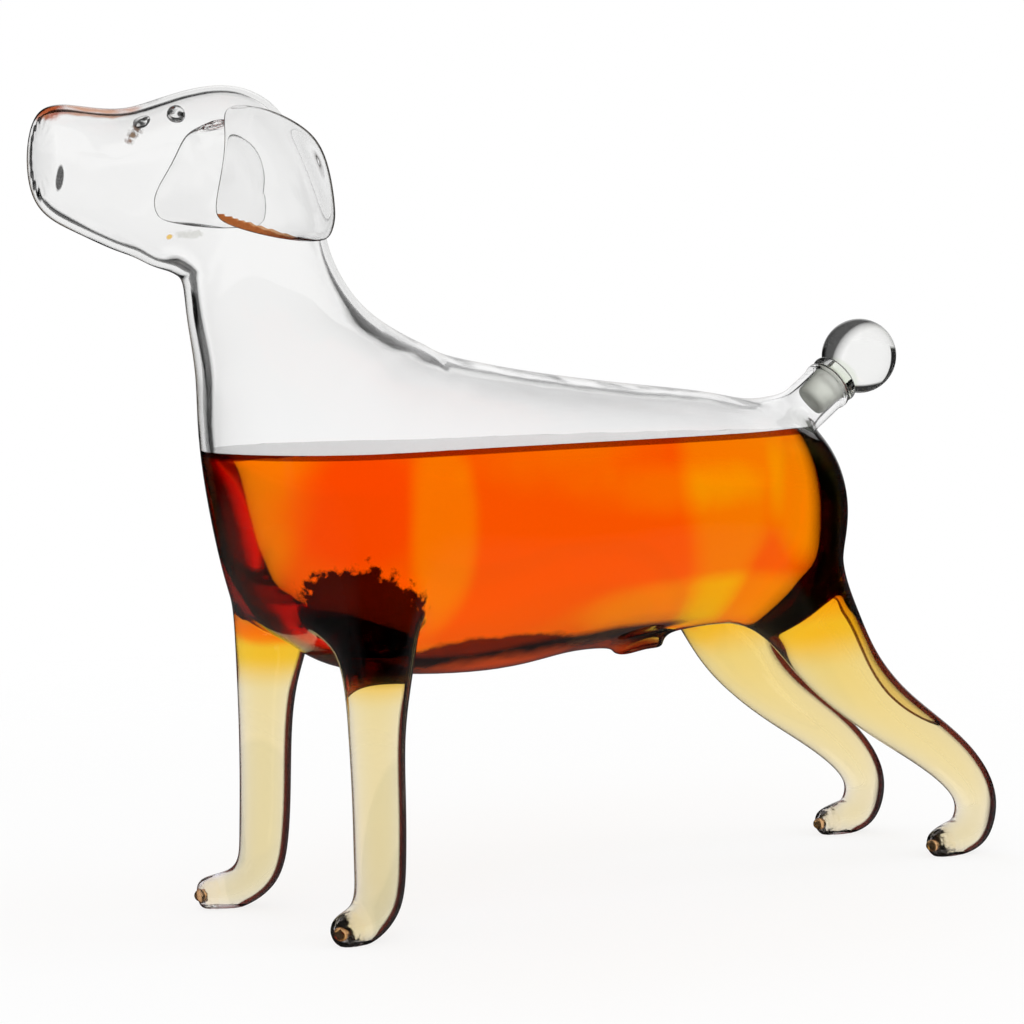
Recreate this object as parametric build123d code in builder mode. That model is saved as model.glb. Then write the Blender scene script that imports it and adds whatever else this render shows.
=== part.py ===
"""A glass liquor decanter blown in the shape of a standing dog.

The dog faces -X and stands on its four paws on the plane Z = 0. Its plane of symmetry is Y = 0,
and its own left side is on -Y. X = 0 is midway between the nose and the hind heels. The hollow
body holds the liquor, the legs are hollow and full of it too, and the raised tail is the neck
of the bottle, closed by a ground stopper with a ball on top. Lengths are in millimetres.
"""
import math
import os

from build123d import *

# Driving dimensions of the whole dog
overall_length = 343.5        # front of the snout to the back of the hind paws
overall_height = 252.5        # table to the top of the skull
chest_width = 86.0            # widest place of the blown body
head_width = 38.0             # widest place of the head, without the ears
front_stance = 65.0           # between the middles of the two front legs, at the table
hind_stance = 57.0            # between the middles of the two hind legs, at the table
leg_diameter = 16.0           # outside of a leg tube at mid height
body_wall = 2.2               # blown wall of the body and the head
leg_wall = 1.8                # wall of the leg tubes

# The liquor
liquor_gap = 0.3              # between the liquor and the glass round it
liquor_level_share = 0.570    # of the overall height

# The tail, which is the neck of the bottle
tail_angle = 34.5             # rise of its axis from the table, in degrees
tail_length = 21.6            # from the line of the back to the rim, along the axis
tail_diameter = 16.4
rim_diameter = 17.6           # small bead round the mouth
rim_height = 2.4
ground_diameter = 12.5        # wide end of the ground taper, at the rim
ground_taper = 0.1            # loss of diameter for each unit of length
ground_length = 13.0
ground_gap = 0.03             # radial clearance between the plug and the ground bore
tail_base_x_share = 0.809     # of the overall length, from the snout
tail_base_z_share = 0.578     # of the overall height

# The stopper
plug_length = 11.5            # below the rim
plug_round = 2.0              # rounding of the plug's lower end
collar_diameter = 17.4
collar_thickness = 3.2
collar_lift = 0.9             # between the rim and the collar
collar_round = 0.9
stem_diameter = 9.0           # clear stem between the ground plug and the collar
ball_diameter = 25.0
ball_sink = 0.8               # depth of the ball below the top of the collar, where it is fused

# Small parts of the figure
eye_diameter = 5.4
eye_angle = 50.0              # up round the head from its widest line, in degrees
nose_length = 13.0
nose_width = 18.0
nose_height = 14.0
nub_length = 16.0
nub_width = 10.0
nub_height = 9.0
ear_thickness = 4.8
ear_length = 40.0             # front edge to back edge of the flap, at its widest

# Sections of the body. Each is an ellipse that stands on the plane of symmetry: the place of its
# upper point and of its lower point, in shares of the length (from the snout) and of the height,
# and its width, as a share of the chest's width.
torso_section_shares = (
    (0.774, 0.602, 0.774, 0.329, 0.80),
    (0.702, 0.622, 0.702, 0.323, 0.91),
    (0.626, 0.634, 0.626, 0.325, 0.96),
    (0.527, 0.650, 0.527, 0.304, 0.99),
    (0.448, 0.667, 0.437, 0.287, 1.00),
    (0.396, 0.682, 0.308, 0.300, 1.00),
    (0.353, 0.707, 0.207, 0.388, 0.95),
    (0.316, 0.733, 0.178, 0.535, 0.86),
    (0.291, 0.764, 0.168, 0.642, 0.70),
)

# The same for the neck and the head, where the last number is a share of the head's width. The
# first is the weld where the head is fused on to the body.
head_section_shares = (
    (0.276, 0.804, 0.155, 0.719, 1.28),
    (0.268, 0.853, 0.148, 0.764, 1.12),
    (0.254, 0.923, 0.138, 0.778, 1.05),
    (0.222, 0.984, 0.127, 0.784, 1.00),
    (0.172, 1.000, 0.112, 0.790, 0.95),
    (0.119, 0.984, 0.095, 0.800, 0.88),
    (0.084, 0.972, 0.073, 0.810, 0.78),
    (0.052, 0.972, 0.044, 0.826, 0.70),
    (0.026, 0.972, 0.022, 0.840, 0.64),
)
eye_section = 5               # the eyes lie on this section of the head
nub_section = 2               # the nub hangs under this section of the body
rump_length_share = 0.068     # rounded end behind the last section of the body
snout_length_share = 0.024    # rounded end before the last section of the head
torso_breaks = (0, 5, 6, 9)   # sections where one loft of the body ends and the next begins
head_breaks = (0, 3, 5, 8)

# Stations down the middle of a leg: place along the length, across (as a share of half the
# stance), up (of the height) and radius (of half the leg's diameter).
front_leg_shares = (
    (0.279, 0.58, 0.459, 1.50),
    (0.277, 0.80, 0.396, 1.65),
    (0.276, 0.91, 0.341, 1.50),
    (0.273, 0.96, 0.289, 1.22),
    (0.271, 0.98, 0.230, 1.05),
    (0.271, 1.00, 0.158, 1.00),
    (0.270, 1.02, 0.091, 0.98),
    (0.264, 1.06, 0.044, 0.93),
    (0.244, 1.14, 0.022, 0.82),
    (0.223, 1.22, 0.018, 0.66),
)
hind_leg_shares = (
    (0.751, 0.56, 0.412, 1.88),
    (0.768, 0.74, 0.358, 2.05),
    (0.789, 0.88, 0.303, 1.81),
    (0.817, 0.93, 0.254, 1.50),
    (0.859, 0.97, 0.204, 1.23),
    (0.908, 0.99, 0.160, 1.09),
    (0.951, 1.00, 0.117, 1.01),
    (0.975, 1.00, 0.071, 0.94),
    (0.969, 1.00, 0.033, 0.90),
    (0.950, 1.00, 0.021, 0.79),
    (0.929, 1.02, 0.017, 0.64),
)
front_leg_breaks = (0, 3, 6, 9)
hind_leg_breaks = (0, 3, 7, 10)

# Stations down an ear: along, across (of half the head's width), up, half its length and half its
# thickness (of the ear's own length and thickness).
ear_shares = (
    (0.184, 0.66, 0.972, 0.20, 0.60),
    (0.188, 0.93, 0.952, 0.34, 0.54),
    (0.192, 1.06, 0.911, 0.42, 0.50),
    (0.192, 1.14, 0.868, 0.47, 0.50),
    (0.201, 1.17, 0.842, 0.42, 0.46),
    (0.222, 1.18, 0.824, 0.20, 0.38),
)
ear_breaks = (0, 5)
nose_place_shares = (0.019, 0.946)      # along and up

os.makedirs("parts", exist_ok=True)


def place(along_share, up_share, across=0):
    """A point of the dog, from its shares of the length and the height."""
    return Vector((along_share - 1 / 2) * overall_length, across, up_share * overall_height)


def body_sections(rows, width, inset):
    """The middle, direction, half width and half height of each section of a table."""
    sections = []
    for top_x, top_z, low_x, low_z, width_share in rows:
        top = place(top_x, top_z)
        low = place(low_x, low_z)
        along = (top - low).cross(Vector(0, 1, 0)).normalized()
        half_height = (top - low).length / 2 - inset
        sections.append(((top + low) / 2, along, width_share * width / 2 - inset, half_height))
    return sections


def smooth_form(sections, breaks):
    """A solid through oval sections, as lofts that each run from one break to the next.

    A loft round a sharp turn swings out between its sections, so the breaks lie at the turns.
    """
    with BuildPart() as form:
        for first, last in zip(breaks, breaks[1:]):
            for origin, along, half_width, half_height in sections[first:last + 1]:
                with BuildSketch(Plane(origin=origin, x_dir=(0, 1, 0), z_dir=along)):
                    Ellipse(half_width, half_height)
            loft()
    return form.part


def egg(centre, along, half_width, half_height, half_length):
    """An ellipsoid round a point, with its length in the direction along."""
    with BuildPart() as form:
        Sphere(1)
        scale(by=(half_width, half_height, half_length))
    return form.part.moved(Plane(origin=centre, x_dir=(0, 1, 0), z_dir=along).location)


def torso_form(inset):
    """The body from the rump to the weld at the base of the neck, drawn in by the inset."""
    sections = body_sections(torso_section_shares, chest_width, inset)
    weld = body_sections(head_section_shares, head_width, inset)[0]
    with BuildPart() as form:
        add(smooth_form(sections + [weld], torso_breaks))
        add(egg(*sections[0], rump_length_share * overall_length - inset))
    return form.part


def head_form(inset):
    """The neck and head from the weld to the front of the snout, drawn in by the inset."""
    sections = body_sections(head_section_shares, head_width, inset)
    with BuildPart() as form:
        add(smooth_form(sections, head_breaks))
        add(egg(*sections[-1], snout_length_share * overall_length - inset))
    return form.part


def leg_form(rows, breaks, stance, inset):
    """A left leg with a rounded paw, drawn in by the inset."""
    middles = [place(x, z, -y * stance / 2) for x, y, z, radius in rows]
    sections = []
    for number, middle in enumerate(middles):
        before = middles[max(number - 1, 0)]
        after = middles[min(number + 1, len(middles) - 1)]
        radius = rows[number][-1] * leg_diameter / 2 - inset
        sections.append((middle, after - before, radius, radius))
    tip_radius = sections[-1][-1]
    with BuildPart() as form:
        add(smooth_form(sections, breaks))
        add(egg(*sections[-1], tip_radius))
    return form.part


# The forms that the pieces are cut from
torso_outside = torso_form(0)
torso_inside = torso_form(body_wall)
head_outside = head_form(0)

left_legs = {
    "front_leg": (front_leg_shares, front_leg_breaks, front_stance),
    "hind_leg": (hind_leg_shares, hind_leg_breaks, hind_stance),
}
leg_insides = {}
for leg_name, leg_shape in left_legs.items():
    left_inside = leg_form(*leg_shape, leg_wall)
    leg_insides["left_" + leg_name] = left_inside
    leg_insides["right_" + leg_name] = left_inside.mirror(Plane.XZ)

tail_rise = math.radians(tail_angle)
tail_base = place(tail_base_x_share, tail_base_z_share)
tail_along = (math.cos(tail_rise), 0, math.sin(tail_rise))
tail_plane = Plane(origin=tail_base, x_dir=(0, 1, 0), z_dir=tail_along)
rim_plane = tail_plane.offset(tail_length)
narrow_radius = (ground_diameter - ground_taper * ground_length) / 2
with BuildPart() as tail_bore:
    with BuildSketch(tail_plane.offset(-tail_length)):
        Circle(narrow_radius)
    extrude(amount=2 * tail_length)


def height_on_tail(edge):
    """How far the middle of an edge lies beyond the tail's rim, along the tail."""
    return rim_plane.to_local_coords(edge.center()).Z


# The table, as a block whose top is ground level
with BuildPart() as table:
    with BuildSketch(Plane.XY):
        Rectangle(2 * overall_length, 2 * chest_width)
    extrude(amount=-overall_height)

# Body of the bottle, from the rump to the base of the neck, open to the legs and the tail
with BuildPart() as torso_shell:
    add(torso_outside)
    add(torso_inside, mode=Mode.SUBTRACT)
    for leg_inside in leg_insides.values():
        add(leg_inside, mode=Mode.SUBTRACT)
    add(tail_bore.part, mode=Mode.SUBTRACT)
torso_shell.part.label = "torso_shell"
export_step(torso_shell.part, "parts/torso_shell.step")

# Neck and head, fused to the body at the base of the neck
with BuildPart() as head_shell:
    add(head_outside)
    add(head_form(body_wall), mode=Mode.SUBTRACT)
head_shell.part.label = "head_shell"
export_step(head_shell.part, "parts/head_shell.step")

# Hollow legs with closed paws, ground flat underneath. The right ones mirror the left ones.
for leg_name, leg_shape in left_legs.items():
    with BuildPart() as leg:
        add(leg_form(*leg_shape, 0))
        add(leg_insides["left_" + leg_name], mode=Mode.SUBTRACT)
        add(torso_outside, mode=Mode.SUBTRACT)
        add(table.part, mode=Mode.SUBTRACT)
    for side_name, leg_part in (("left_", leg.part), ("right_", leg.part.mirror(Plane.XZ))):
        leg_part.label = side_name + leg_name
        export_step(leg_part, "parts/" + side_name + leg_name + ".step")

# Ears, pressed flaps of solid glass that hang from the sides of the skull
ear_sections = []
for ear_x, ear_y, ear_z, length_share, thickness_share in ear_shares:
    ear_middle = place(ear_x, ear_z, -ear_y * head_width / 2)
    ear_sections.append(
        (ear_middle, Vector(0, 0, -1), thickness_share * ear_thickness, length_share * ear_length)
    )
with BuildPart() as ear:
    add(smooth_form(ear_sections, ear_breaks))
    add(head_outside, mode=Mode.SUBTRACT)
for side_name, ear_part in (("left_", ear.part), ("right_", ear.part.mirror(Plane.XZ))):
    ear_part.label = side_name + "ear"
    export_step(ear_part, "parts/" + side_name + "ear.step")

# Eyes, drops of glass fused high on the head
eye_middle, eye_along, eye_half_width, eye_half_height = (
    body_sections(head_section_shares, head_width, 0)[eye_section]
)
eye_out = eye_half_width * math.cos(math.radians(eye_angle))
eye_up = eye_half_height * math.sin(math.radians(eye_angle))
eye_rise = Vector(0, 1, 0).cross(eye_along)
eye_place = eye_middle + eye_rise * eye_up - Vector(0, eye_out, 0)
with BuildPart() as eye:
    add(egg(eye_place, eye_along, eye_diameter / 2, eye_diameter / 2, eye_diameter / 2))
    add(head_outside, mode=Mode.SUBTRACT)
for side_name, eye_part in (("left_", eye.part), ("right_", eye.part.mirror(Plane.XZ))):
    eye_part.label = side_name + "eye"
    export_step(eye_part, "parts/" + side_name + "eye.step")

# Nose, a drop of glass on the upper front of the snout
with BuildPart() as nose_tip:
    add(egg(place(*nose_place_shares), (-1, 0, 0), nose_width / 2, nose_height / 2, nose_length / 2))
    add(head_outside, mode=Mode.SUBTRACT)
nose_tip.part.label = "nose_tip"
export_step(nose_tip.part, "parts/nose_tip.step")

# Small drop of glass under the belly
nub_x, nub_z = torso_section_shares[nub_section][2:4]
with BuildPart() as belly_nub:
    add(egg(place(nub_x, nub_z), (-1, 0, 0), nub_width / 2, nub_height / 2, nub_length / 2))
    add(torso_outside, mode=Mode.SUBTRACT)
belly_nub.part.label = "belly_nub"
export_step(belly_nub.part, "parts/belly_nub.step")

# Tail tube, the neck of the bottle, with a bead round its mouth and a ground taper inside
with BuildPart() as tail_neck:
    with BuildSketch(tail_plane.offset(-tail_length)):
        Circle(tail_diameter / 2)
    extrude(amount=2 * tail_length)
    with BuildSketch(rim_plane.offset(-rim_height)):
        Circle(rim_diameter / 2)
    extrude(amount=rim_height)
    fillet(tail_neck.edges().group_by(height_on_tail)[-1], rim_height / 3)
    add(tail_bore.part, mode=Mode.SUBTRACT)
    with BuildSketch(rim_plane):
        Circle(ground_diameter / 2)
    with BuildSketch(rim_plane.offset(-ground_length)):
        Circle(narrow_radius)
    loft(mode=Mode.SUBTRACT)
    add(torso_outside, mode=Mode.SUBTRACT)
tail_neck.part.label = "tail_neck"
export_step(tail_neck.part, "parts/tail_neck.step")

# Ground plug of the stopper, with the clear stem that carries the collar
plug_wide = ground_diameter / 2 - ground_gap
plug_narrow = plug_wide - ground_taper * plug_length / 2
with BuildPart() as stopper_plug:
    with BuildSketch(rim_plane):
        Circle(plug_wide)
    with BuildSketch(rim_plane.offset(-plug_length)):
        Circle(plug_narrow)
    loft()
    fillet(stopper_plug.edges().group_by(height_on_tail)[0], plug_round)
    with BuildSketch(rim_plane):
        Circle(stem_diameter / 2)
    extrude(amount=collar_lift)
stopper_plug.part.label = "stopper_plug"
export_step(stopper_plug.part, "parts/stopper_plug.step")

# Collar of the stopper, a round disc just above the mouth
collar_plane = rim_plane.offset(collar_lift)
with BuildPart() as stopper_collar:
    with BuildSketch(collar_plane):
        Circle(collar_diameter / 2)
    extrude(amount=collar_thickness)
    fillet(stopper_collar.edges(), collar_round)
stopper_collar.part.label = "stopper_collar"
export_step(stopper_collar.part, "parts/stopper_collar.step")

# Solid glass ball of the stopper, fused to the collar
ball_middle = collar_plane.offset(collar_thickness + ball_diameter / 2 - ball_sink).origin
with BuildPart() as stopper_ball:
    with Locations(ball_middle):
        Sphere(ball_diameter / 2)
    split(bisect_by=collar_plane.offset(collar_thickness), keep=Keep.TOP)
stopper_ball.part.label = "stopper_ball"
export_step(stopper_ball.part, "parts/stopper_ball.step")

# The liquor, which fills the body up to its level and all four legs
liquor_level = Plane.XY.offset(liquor_level_share * overall_height)
with BuildPart() as liquor:
    add(torso_form(body_wall + liquor_gap))
    split(bisect_by=liquor_level, keep=Keep.BOTTOM)
    for leg_shape in left_legs.values():
        left_fill = leg_form(*leg_shape, leg_wall + liquor_gap)
        add([left_fill, left_fill.mirror(Plane.XZ)])
liquor.part.label = "liquor"
export_step(liquor.part, "parts/liquor.step")
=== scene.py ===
# %% [markdown]
# # A blown-glass liquor decanter in the shape of a standing dog
# The CAD model is loaded as a fixed frame, in metres. Each piece made here rides on one of its
# bodies, and nearly all take the place of CAD nodes. The vessel is one skin of glass with an
# even wall, so light passes through it as it does through the real bottle.

# %% Load the frame and keep its box
import math

import bmesh
import bpy
from mathutils import Matrix, Vector


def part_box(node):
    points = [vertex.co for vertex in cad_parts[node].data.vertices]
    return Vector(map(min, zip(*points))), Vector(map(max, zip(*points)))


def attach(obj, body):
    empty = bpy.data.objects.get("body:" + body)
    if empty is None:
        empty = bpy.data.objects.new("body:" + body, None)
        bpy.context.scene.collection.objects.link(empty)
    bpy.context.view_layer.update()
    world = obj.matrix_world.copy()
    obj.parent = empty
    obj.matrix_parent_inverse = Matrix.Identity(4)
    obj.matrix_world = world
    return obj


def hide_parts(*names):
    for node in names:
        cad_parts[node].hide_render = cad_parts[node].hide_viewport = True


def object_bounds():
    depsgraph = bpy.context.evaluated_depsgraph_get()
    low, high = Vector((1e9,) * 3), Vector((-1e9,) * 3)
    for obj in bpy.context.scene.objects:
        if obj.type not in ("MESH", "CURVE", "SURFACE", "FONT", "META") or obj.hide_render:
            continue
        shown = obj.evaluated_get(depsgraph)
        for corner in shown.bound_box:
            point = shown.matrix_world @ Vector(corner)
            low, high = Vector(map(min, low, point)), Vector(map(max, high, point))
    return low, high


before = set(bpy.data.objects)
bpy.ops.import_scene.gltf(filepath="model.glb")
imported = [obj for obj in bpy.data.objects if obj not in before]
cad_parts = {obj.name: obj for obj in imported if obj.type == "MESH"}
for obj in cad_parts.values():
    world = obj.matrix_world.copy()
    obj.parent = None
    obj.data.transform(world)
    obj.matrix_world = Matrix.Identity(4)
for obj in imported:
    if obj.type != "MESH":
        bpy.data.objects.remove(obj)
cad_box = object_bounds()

mm = 0.001
box_low, box_high = cad_box
length = box_high[0] - box_low[0]
height = box_high[2] - box_low[2]
print("CAD box in mm:", [round(v / mm, 1) for corner in cad_box for v in corner])

# %% [markdown]
# ## The camera
# The photograph was taken with a long lens, from a little above the middle of the dog and about
# 35 degrees round to its front. A long lens keeps the near and far legs about the same size.

# %% Camera at the photograph's place
view_turn = math.radians(-35.18)
view_rise = math.radians(4.05)
view_roll = math.radians(-0.54)
view_distance = 1.11867
view_lens = 125.11
view_target = Vector((-0.00653, 0, 0.12138))

back = Vector((
    math.sin(view_turn) * math.cos(view_rise),
    -math.cos(view_turn) * math.cos(view_rise),
    math.sin(view_rise),
))
level_right = Vector((math.cos(view_turn), math.sin(view_turn), 0))
level_up = back.cross(level_right)
right = math.cos(view_roll) * level_right + math.sin(view_roll) * level_up
up = back.cross(right)
camera_turn = Matrix((right, up, back)).transposed().to_euler()
bpy.ops.object.camera_add(location=view_target + view_distance * back, rotation=camera_turn)
camera = bpy.context.object
camera.name = "photo_camera"
camera.data.lens = view_lens
camera.data.clip_end = 20
bpy.context.scene.camera = camera
print("camera at", [round(v, 3) for v in camera.location])

# %% [markdown]
# ## Shader nodes
# The surround, the floor, the glass and the liquor are all made of shader nodes. The functions
# here add one node, or a few that belong together. An input is a value or an output of a node.

# %% Node helpers
white = (1.0, 1.0, 1.0)
black = (0.0, 0.0, 0.0)


def add_node(tree, kind, inputs=(), **settings):
    """A node with its settings and its inputs. Inputs are pairs of a name or number and a value."""
    node = tree.nodes.new(kind)
    for setting, value in settings.items():
        setattr(node, setting, value)
    for name, value in dict(inputs).items():
        socket = node.inputs[name]
        if isinstance(value, bpy.types.NodeSocket):
            tree.links.new(value, socket)
        elif socket.type == "RGBA":
            socket.default_value = (*value, 1)
        else:
            socket.default_value = value
    return node


def math_value(tree, operation, *values):
    """The result of one operation on numbers."""
    return add_node(tree, "ShaderNodeMath", enumerate(values), operation=operation).outputs["Value"]


def vector_math(tree, operation, *values):
    """A node for one operation on vectors, with the outputs Vector and Value."""
    return add_node(tree, "ShaderNodeVectorMath", enumerate(values), operation=operation)


def share_between(tree, value, none_at, full_at, interpolation="SMOOTHSTEP"):
    """How far a value has come from one end to the other, from 0 to 1."""
    return add_node(
        tree, "ShaderNodeMapRange", {"Value": value, "From Min": none_at, "From Max": full_at},
        interpolation_type=interpolation,
    ).outputs["Result"]


def between(tree, axis, none_at, full_at):
    """A mask that rises along an axis of the object, from none to full."""
    place = add_node(tree, "ShaderNodeTexCoord").outputs["Object"]
    axes = add_node(tree, "ShaderNodeSeparateXYZ", {"Vector": place}).outputs
    return share_between(tree, axes[axis], none_at, full_at)


def colour_ramp(tree, value, stops):
    """A ramp of colours over a value, from (position, colour) stops."""
    ramp = add_node(tree, "ShaderNodeValToRGB", {"Fac": value})
    while len(ramp.color_ramp.elements) < len(stops):
        ramp.color_ramp.elements.new(0.5)
    for element, (position, colour) in zip(ramp.color_ramp.elements, stops):
        element.position = position
        element.color = (*colour, 1)
    return ramp.outputs["Color"]


def grey_ramp(tree, value, stops):
    """A ramp of greys over a value, from (position, grey) stops."""
    return colour_ramp(tree, value, [(position, (grey, grey, grey)) for position, grey in stops])


def mixed(tree, factor, first, second, blend="MIX"):
    """Two colours mixed by a factor."""
    return add_node(
        tree, "ShaderNodeMix", {"Factor": factor, "A": first, "B": second},
        data_type="RGBA", blend_type=blend,
    ).outputs["Result"]


def multiplied(tree, first, second):
    """Two colours, one laid over the other as clear films are."""
    return mixed(tree, 1, first, second, "MULTIPLY")


def mixed_shaders(tree, factor, first, second):
    """Two shaders mixed by a factor."""
    return add_node(tree, "ShaderNodeMixShader", {0: factor, 1: first, 2: second}).outputs["Shader"]


def let_lamps_through(tree, shader, colour):
    """The surface of a clear material, which only tints the light of the lamps."""
    clear = add_node(tree, "ShaderNodeBsdfTransparent", {"Color": colour}).outputs["BSDF"]
    in_shadow = add_node(tree, "ShaderNodeLightPath").outputs["Is Shadow Ray"]
    return mixed_shaders(tree, in_shadow, shader, clear)


def new_material(name):
    """A material with an empty node tree."""
    material = bpy.data.materials.new(name)
    material.use_nodes = True
    material.node_tree.nodes.clear()
    return material, material.node_tree


def node_group(name, sockets):
    """A node group with its sockets, each (name, direction, kind), and the outputs of its input."""
    group = bpy.data.node_groups.new(name, "ShaderNodeTree")
    for socket_name, in_out, kind in sockets:
        group.interface.new_socket(socket_name, in_out=in_out, socket_type="NodeSocket" + kind)
    return group, group.nodes.new("NodeGroupInput").outputs


# %% [markdown]
# ## Studio: floor, surround and lamps
# Clear glass has no colour of its own. What we see is the room, bent by the glass: white from the
# backdrop, and black at the edges, where the glass bends our view round to something dark. So the
# studio has a white wall behind the dog, and a dark ceiling and dark walls at the sides, as
# photographers set up round glass. Other white walls stand where the side views look through it.

# %% The surround
studio = bpy.context.scene
studio.view_settings.view_transform = "Standard"
world = bpy.data.worlds.new("studio_surround")
studio.world = world
world.use_nodes = True
sky = world.node_tree
sky.nodes.clear()
direction = add_node(sky, "ShaderNodeTexCoord").outputs["Generated"]


def direction_share(axis):
    """How far a ray of the surround points along an axis, from -1 to 1."""
    return vector_math(sky, "DOT_PRODUCT", direction, axis).outputs["Value"]


def background(colour, strength=1.0):
    """Light of the surround, in a colour."""
    inputs = {"Color": colour, "Strength": strength}
    return add_node(sky, "ShaderNodeBackground", inputs).outputs["Background"]


line_of_sight = -Vector((back.x, back.y, 0)).normalized()
round_angle = math_value(
    sky, "ARCTAN2", direction_share(-level_right), direction_share(line_of_sight),
)
turn_share = share_between(sky, round_angle, -math.pi, math.pi, "LINEAR")
sweep_stops = ((0.18, 0.0), (0.26, 1.0))


def studio_light(wall_stops, rise_stops, sweep_share):
    """Light of the surround: how light the walls are all round, times how light they are by height.

    Far below the horizon the white sweep of the floor goes on, by its share.
    """
    walls = grey_ramp(
        sky, turn_share, [((degrees + 180) / 360, grey) for degrees, grey in wall_stops],
    )
    rise = grey_ramp(sky, direction_share((0, 0, 1)), rise_stops)
    sweep = grey_ramp(sky, direction_share((0, 0, -1)), sweep_stops)
    return background(mixed(sky, sweep_share, multiplied(sky, walls, rise), sweep, "LIGHTEN"))


# Stops of a wall are degrees to the left of the line of sight, and how light the wall is there.
# Stops of the rise are the sine of the rise above the horizon, so the ceiling is dark.
seen_through = studio_light(
    (
        (-180, 0.04), (-140, 0.04), (-134, 0.60), (-112, 0.60), (-105, 0.06), (-66, 0.06), (-54, 1.0),
        (42, 1.0), (44, 0.02), (108, 0.02),
        (113, 1.0), (138, 1.0), (144, 0.04), (180, 0.04),
    ),
    ((0.60, 1.0), (0.68, 0.03), (0.90, 0.03), (0.97, 0.40)),
    1.0,
)
mirrored = studio_light(
    (
        (-180, 0.0), (-30, 0.0), (-8, 0.9), (8, 0.9), (20, 0.0), (126, 0.0), (130, 0.55), (136, 0.55),
        (140, 0.0), (180, 0.0),
    ),
    ((0.0, 0.12), (0.05, 1.0), (0.45, 1.0), (0.60, 0.10)),
    0.0,
)
plain_strength = 0.72
sky_paths = add_node(sky, "ShaderNodeLightPath").outputs
# A ray that has gone through glass counts as glossy as well, so transmission is mixed in last
sky_light = mixed_shaders(
    sky, sky_paths["Is Glossy Ray"], background(white, plain_strength), mirrored,
)
sky_light = mixed_shaders(sky, sky_paths["Is Transmission Ray"], sky_light, seen_through)
sky_light = mixed_shaders(sky, sky_paths["Is Camera Ray"], sky_light, background(white))
add_node(sky, "ShaderNodeOutputWorld", {"Surface": sky_light})
print("surround has", len(sky.nodes), "nodes")

# %% The floor, white and without an edge
floor_radius = 0.75
fade_begins = 0.35
fade_ends = 0.72
glow_share = 0.75
bpy.ops.object.select_all(action="DESELECT")
bpy.ops.mesh.primitive_circle_add(vertices=96, radius=floor_radius, fill_type="NGON")
floor = bpy.context.object
floor.name = "studio_floor"
floor_white, tree = new_material("studio_floor_white")
paint = add_node(tree, "ShaderNodeBsdfDiffuse", {"Color": (0.93, 0.93, 0.93)}).outputs["BSDF"]
dark_paint = add_node(tree, "ShaderNodeBsdfDiffuse", {"Color": (0.06, 0.06, 0.06)}).outputs["BSDF"]
open_air = add_node(tree, "ShaderNodeBsdfTransparent").outputs["BSDF"]
glow = add_node(tree, "ShaderNodeEmission").outputs["Emission"]
floor_place = add_node(tree, "ShaderNodeTexCoord").outputs["Object"]
from_middle = vector_math(tree, "LENGTH", floor_place).outputs["Value"]
fade = share_between(tree, from_middle, fade_begins, fade_ends, "LINEAR")
# Seen straight or through glass the floor glows a little, and in a mirror image it is dark
floor_paths = add_node(tree, "ShaderNodeLightPath").outputs
seen_straight = math_value(
    tree, "MAXIMUM", floor_paths["Is Camera Ray"], floor_paths["Is Transmission Ray"],
)
floor_surface = mixed_shaders(
    tree, seen_straight,
    mixed_shaders(tree, floor_paths["Is Glossy Ray"], paint, dark_paint),
    mixed_shaders(tree, glow_share, paint, glow),
)
floor_surface = mixed_shaders(tree, fade, floor_surface, open_air)
add_node(tree, "ShaderNodeOutputMaterial", {"Surface": floor_surface})
floor.data.materials.append(floor_white)
print("floor of", 2 * floor_radius, "m across")

# %% Soft lamps
lamp_places = (               # name, place, size, watts
    ("lamp_left", (-1.1, -1.2, 1.3), 0.9, 9.0),
    ("lamp_right", (1.3, -0.6, 1.1), 0.9, 5.0),
    ("lamp_back", (0.3, 1.4, 1.5), 1.0, 7.0),
)
lamp_target = Vector((0, 0, 0.1))
for lamp_name, lamp_place, lamp_size, lamp_watts in lamp_places:
    lamp_turn = (lamp_target - Vector(lamp_place)).to_track_quat("-Z", "Y").to_euler()
    bpy.ops.object.light_add(type="AREA", location=lamp_place, rotation=lamp_turn)
    lamp = bpy.context.object
    lamp.name = lamp_name
    lamp.data.size = lamp_size
    lamp.data.energy = lamp_watts
    lamp.visible_glossy = False
    lamp.visible_transmission = False
print(len(lamp_places), "lamps")
studio.cycles.max_bounces = 32
studio.cycles.transmission_bounces = 32
studio.cycles.glossy_bounces = 8
studio.cycles.diffuse_bounces = 3
studio.cycles.transparent_max_bounces = 32

# %% [markdown]
# ## Glass and liquor
# The glass is colourless soda-lime glass, with the faint ripple that blowing leaves. The liquor
# takes up blue most, green less and red hardly at all, so a thin layer in the legs looks like
# straw and the thick body looks deep orange. That comes from absorption in its volume. On top of
# that, both carry painted light and shade at places of the dog, such as the painted dark edges
# and the painted shadow over the legs.

# %% Ripple of blown glass, shared by the glass materials
ripple, given = node_group("blown_ripple", (
    ("Scale", "INPUT", "Float"),
    ("Height", "INPUT", "Float"),
    ("Normal", "OUTPUT", "Vector"),
))
ripple_place = add_node(ripple, "ShaderNodeTexCoord").outputs["Object"]
ripple_noise = add_node(
    ripple, "ShaderNodeTexNoise", {"Vector": ripple_place, "Scale": given["Scale"], "Detail": 1.5},
).outputs["Fac"]
ripple_bump = add_node(
    ripple, "ShaderNodeBump", {"Strength": 1.0, "Distance": given["Height"], "Height": ripple_noise},
)
add_node(ripple, "NodeGroupOutput", {"Normal": ripple_bump.outputs["Normal"]})
print("ripple group ready")

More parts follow.
